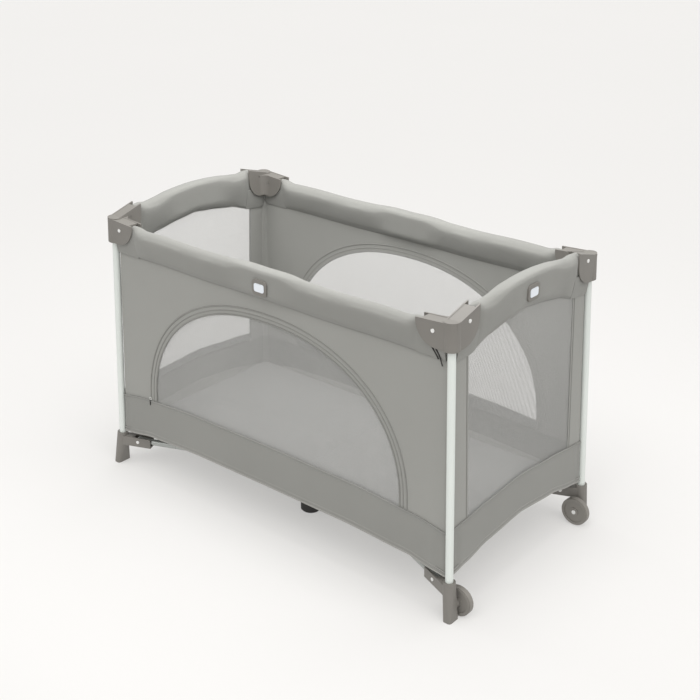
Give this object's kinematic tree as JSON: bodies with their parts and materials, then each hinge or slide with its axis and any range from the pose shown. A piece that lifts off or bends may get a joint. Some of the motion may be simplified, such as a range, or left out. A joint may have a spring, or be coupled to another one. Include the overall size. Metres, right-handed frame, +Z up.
{
  "type": "folding travel cot",
  "caption": "Folding travel cot with padded top rails, mesh windows, a padded mat, latched folding rails, a folding base and wheels at one end.",
  "frame": {"origin": "on the floor under the middle of the cot", "axes": "+Z up; +X along the length towards the end with wheels; -Y towards the front long side"},
  "size_m": [1.295, 0.654, 0.817],
  "materials": {
    "post_tube": "satin",
    "rail_tube": "satin",
    "grey_plastic": "matte",
    "wheel_plastic": "matte",
    "rivet_white": "satin",
    "button_white": "satin",
    "dark_rubber": "matte",
    "padded_fabric": "matte",
    "wall_fabric": "matte",
    "mat_fabric": "matte"
  },
  "bodies": {
    "corner_front_right": {"post_front_right": "post_tube", "cap_front_right": "grey_plastic", "foot_front_right": "grey_plastic", "rivets_front_right": "rivet_white", "wall_front": "wall_fabric", "wall_right": "wall_fabric"},
    "corner_front_left": {"post_front_left": "post_tube", "cap_front_left": "grey_plastic", "foot_front_left": "grey_plastic", "rivets_front_left": "rivet_white", "wall_left": "wall_fabric"},
    "corner_back_right": {"post_back_right": "post_tube", "cap_back_right": "grey_plastic", "foot_back_right": "grey_plastic", "rivets_back_right": "rivet_white"},
    "corner_back_left": {"post_back_left": "post_tube", "cap_back_left": "grey_plastic", "foot_back_left": "grey_plastic", "rivets_back_left": "rivet_white", "wall_back": "wall_fabric"},
    "front_rail_right": {"rail_front_right": "rail_tube", "pad_front_right": "padded_fabric"},
    "front_rail_left": {"rail_front_left": "rail_tube", "pad_front_left": "padded_fabric"},
    "back_rail_right": {"rail_back_right": "rail_tube", "pad_back_right": "padded_fabric"},
    "back_rail_left": {"rail_back_left": "rail_tube", "pad_back_left": "padded_fabric"},
    "right_rail_front": {"rail_right_front": "rail_tube", "pad_right_front": "padded_fabric"},
    "right_rail_back": {"rail_right_back": "rail_tube", "pad_right_back": "padded_fabric"},
    "left_rail_front": {"rail_left_front": "rail_tube", "pad_left_front": "padded_fabric"},
    "left_rail_back": {"rail_left_back": "rail_tube", "pad_left_back": "padded_fabric"},
    "front_latch": {"latch_front": "grey_plastic"},
    "front_button": {"button_front": "button_white"},
    "back_latch": {"latch_back": "grey_plastic"},
    "back_button": {"button_back": "button_white"},
    "right_latch": {"latch_right": "grey_plastic"},
    "right_button": {"button_right": "button_white"},
    "left_latch": {"latch_left": "grey_plastic"},
    "left_button": {"button_left": "button_white"},
    "base_front_right": {"base_tube_front_right": "rail_tube", "mat_front_right": "mat_fabric"},
    "base_front_left": {"base_tube_front_left": "rail_tube", "mat_front_left": "mat_fabric"},
    "base_back_right": {"base_tube_back_right": "rail_tube", "mat_back_right": "mat_fabric"},
    "base_back_left": {"base_tube_back_left": "rail_tube", "mat_back_left": "mat_fabric"},
    "base_hub": {"hub": "grey_plastic", "hub_feet": "dark_rubber", "floor_sheet": "wall_fabric"},
    "wheel_front": {"wheel_front": "wheel_plastic"},
    "wheel_back": {"wheel_back": "wheel_plastic"}
  },
  "joints": [
    {"name": "fold", "type": "hinge", "parent": "corner_front_right", "child": "front_rail_right", "pos_m": [0.53944, -0.29731, 0.758], "axis": [0, -1, 0], "range_deg": [0, 84], "deforming": ["pad_front_right", "pad_front_left", "pad_back_right", "pad_back_left", "pad_right_front", "pad_left_front", "pad_right_back", "pad_left_back", "mat_front_right", "mat_front_left", "mat_back_right", "mat_back_left", "floor_sheet", "wall_front", "wall_back", "wall_right", "wall_left"]},
    {"name": "front_latch_right_pin", "type": "hinge", "parent": "front_rail_right", "child": "front_latch", "pos_m": [0.025, -0.29731, 0.758], "axis": [0, 1, 0], "range_deg": [0, 84]},
    {"name": "front_latch_left_pin", "type": "hinge", "parent": "front_latch", "child": "front_rail_left", "pos_m": [-0.025, -0.29731, 0.758], "axis": [0, 1, 0], "range_deg": [0, 84]},
    {"name": "front_left_cap_long_pin", "type": "hinge", "parent": "front_rail_left", "child": "corner_front_left", "pos_m": [-0.53944, -0.29731, 0.758], "axis": [0, -1, 0], "range_deg": [0, 84]},
    {"name": "front_right_cap_end_pin", "type": "hinge", "parent": "corner_front_right", "child": "right_rail_front", "pos_m": [0.57944, -0.25731, 0.779], "axis": [-1, 0, 0], "range_deg": [0, 84]},
    {"name": "right_latch_front_pin", "type": "hinge", "parent": "right_rail_front", "child": "right_latch", "pos_m": [0.57944, -0.045, 0.779], "axis": [1, 0, 0], "range_deg": [0, 84]},
    {"name": "right_latch_back_pin", "type": "hinge", "parent": "right_latch", "child": "right_rail_back", "pos_m": [0.57944, 0.045, 0.779], "axis": [1, 0, 0], "range_deg": [0, 84]},
    {"name": "back_right_cap_end_pin", "type": "hinge", "parent": "right_rail_back", "child": "corner_back_right", "pos_m": [0.57944, 0.25731, 0.779], "axis": [-1, 0, 0], "range_deg": [0, 84]},
    {"name": "front_left_cap_end_pin", "type": "hinge", "parent": "corner_front_left", "child": "left_rail_front", "pos_m": [-0.57944, -0.25731, 0.779], "axis": [-1, 0, 0], "range_deg": [0, 84]},
    {"name": "left_latch_front_pin", "type": "hinge", "parent": "left_rail_front", "child": "left_latch", "pos_m": [-0.57944, -0.045, 0.779], "axis": [1, 0, 0], "range_deg": [0, 84]},
    {"name": "left_latch_back_pin", "type": "hinge", "parent": "left_latch", "child": "left_rail_back", "pos_m": [-0.57944, 0.045, 0.779], "axis": [1, 0, 0], "range_deg": [0, 84]},
    {"name": "back_left_cap_end_pin", "type": "hinge", "parent": "left_rail_back", "child": "corner_back_left", "pos_m": [-0.57944, 0.25731, 0.779], "axis": [-1, 0, 0], "range_deg": [0, 84]},
    {"name": "back_right_cap_long_pin", "type": "hinge", "parent": "corner_back_right", "child": "back_rail_right", "pos_m": [0.53944, 0.29731, 0.758], "axis": [0, -1, 0], "range_deg": [0, 84]},
    {"name": "back_latch_right_pin", "type": "hinge", "parent": "back_rail_right", "child": "back_latch", "pos_m": [0.025, 0.29731, 0.758], "axis": [0, 1, 0], "range_deg": [0, 84]},
    {"name": "back_latch_left_pin", "type": "hinge", "parent": "back_latch", "child": "back_rail_left", "pos_m": [-0.025, 0.29731, 0.758], "axis": [0, 1, 0], "range_deg": [0, 84]},
    {"name": "base_front_right_pin", "type": "hinge", "parent": "corner_front_right", "child": "base_front_right", "pos_m": [0.55516, -0.28802, 0.088], "axis": [0.3815, 0.9244, 0], "range_deg": [0, 84]},
    {"name": "hub_front_right_pin", "type": "hinge", "parent": "base_front_right", "child": "base_hub", "pos_m": [0.04072, -0.0757, 0.088], "axis": [-0.3815, -0.9244, 0], "range_deg": [0, 84]},
    {"name": "hub_front_left_pin", "type": "hinge", "parent": "base_hub", "child": "base_front_left", "pos_m": [-0.04072, -0.0757, 0.088], "axis": [0.3815, -0.9244, 0], "range_deg": [0, 84]},
    {"name": "hub_back_right_pin", "type": "hinge", "parent": "base_hub", "child": "base_back_right", "pos_m": [0.04072, 0.0757, 0.088], "axis": [-0.3815, 0.9244, 0], "range_deg": [0, 84]},
    {"name": "hub_back_left_pin", "type": "hinge", "parent": "base_hub", "child": "base_back_left", "pos_m": [-0.04072, 0.0757, 0.088], "axis": [-0.3815, -0.9244, 0], "range_deg": [0, 84]},
    {"name": "wheel_front_spin", "type": "hinge", "parent": "corner_front_right", "child": "wheel_front", "pos_m": [0.613, -0.276, 0.041], "axis": [0, 1, 0], "continuous": true},
    {"name": "wheel_back_spin", "type": "hinge", "parent": "corner_back_right", "child": "wheel_back", "pos_m": [0.613, 0.276, 0.041], "axis": [0, 1, 0], "continuous": true},
    {"name": "front_button_press", "type": "slide", "parent": "front_latch", "child": "front_button", "axis": [0, 1, 0], "range_m": [0, 0.004], "stiffness_N_per_m": 400},
    {"name": "back_button_press", "type": "slide", "parent": "back_latch", "child": "back_button", "axis": [0, -1, 0], "range_m": [0, 0.004], "stiffness_N_per_m": 400},
    {"name": "right_button_press", "type": "slide", "parent": "right_latch", "child": "right_button", "axis": [-1, 0, 0], "range_m": [0, 0.004], "stiffness_N_per_m": 400},
    {"name": "left_button_press", "type": "slide", "parent": "left_latch", "child": "left_button", "axis": [1, 0, 0], "range_m": [0, 0.004], "stiffness_N_per_m": 400}
  ],
  "couplings": [
    {"joint": "front_latch_right_pin", "follows": "fold", "ratio": 1},
    {"joint": "front_latch_left_pin", "follows": "fold", "ratio": 1},
    {"joint": "front_left_cap_long_pin", "follows": "fold", "ratio": 1},
    {"joint": "front_right_cap_end_pin", "follows": "fold", "ratio": 1},
    {"joint": "right_latch_front_pin", "follows": "fold", "ratio": 1},
    {"joint": "right_latch_back_pin", "follows": "fold", "ratio": 1},
    {"joint": "back_right_cap_end_pin", "follows": "fold", "ratio": 1},
    {"joint": "front_left_cap_end_pin", "follows": "fold", "ratio": 1},
    {"joint": "left_latch_front_pin", "follows": "fold", "ratio": 1},
    {"joint": "left_latch_back_pin", "follows": "fold", "ratio": 1},
    {"joint": "back_left_cap_end_pin", "follows": "fold", "ratio": 1},
    {"joint": "back_right_cap_long_pin", "follows": "fold", "ratio": 1},
    {"joint": "back_latch_right_pin", "follows": "fold", "ratio": 1},
    {"joint": "back_latch_left_pin", "follows": "fold", "ratio": 1},
    {"joint": "base_front_right_pin", "follows": "fold", "ratio": 1},
    {"joint": "hub_front_right_pin", "follows": "fold", "ratio": 1},
    {"joint": "hub_front_left_pin", "follows": "fold", "ratio": 1},
    {"joint": "hub_back_right_pin", "follows": "fold", "ratio": 1},
    {"joint": "hub_back_left_pin", "follows": "fold", "ratio": 1}
  ]
}
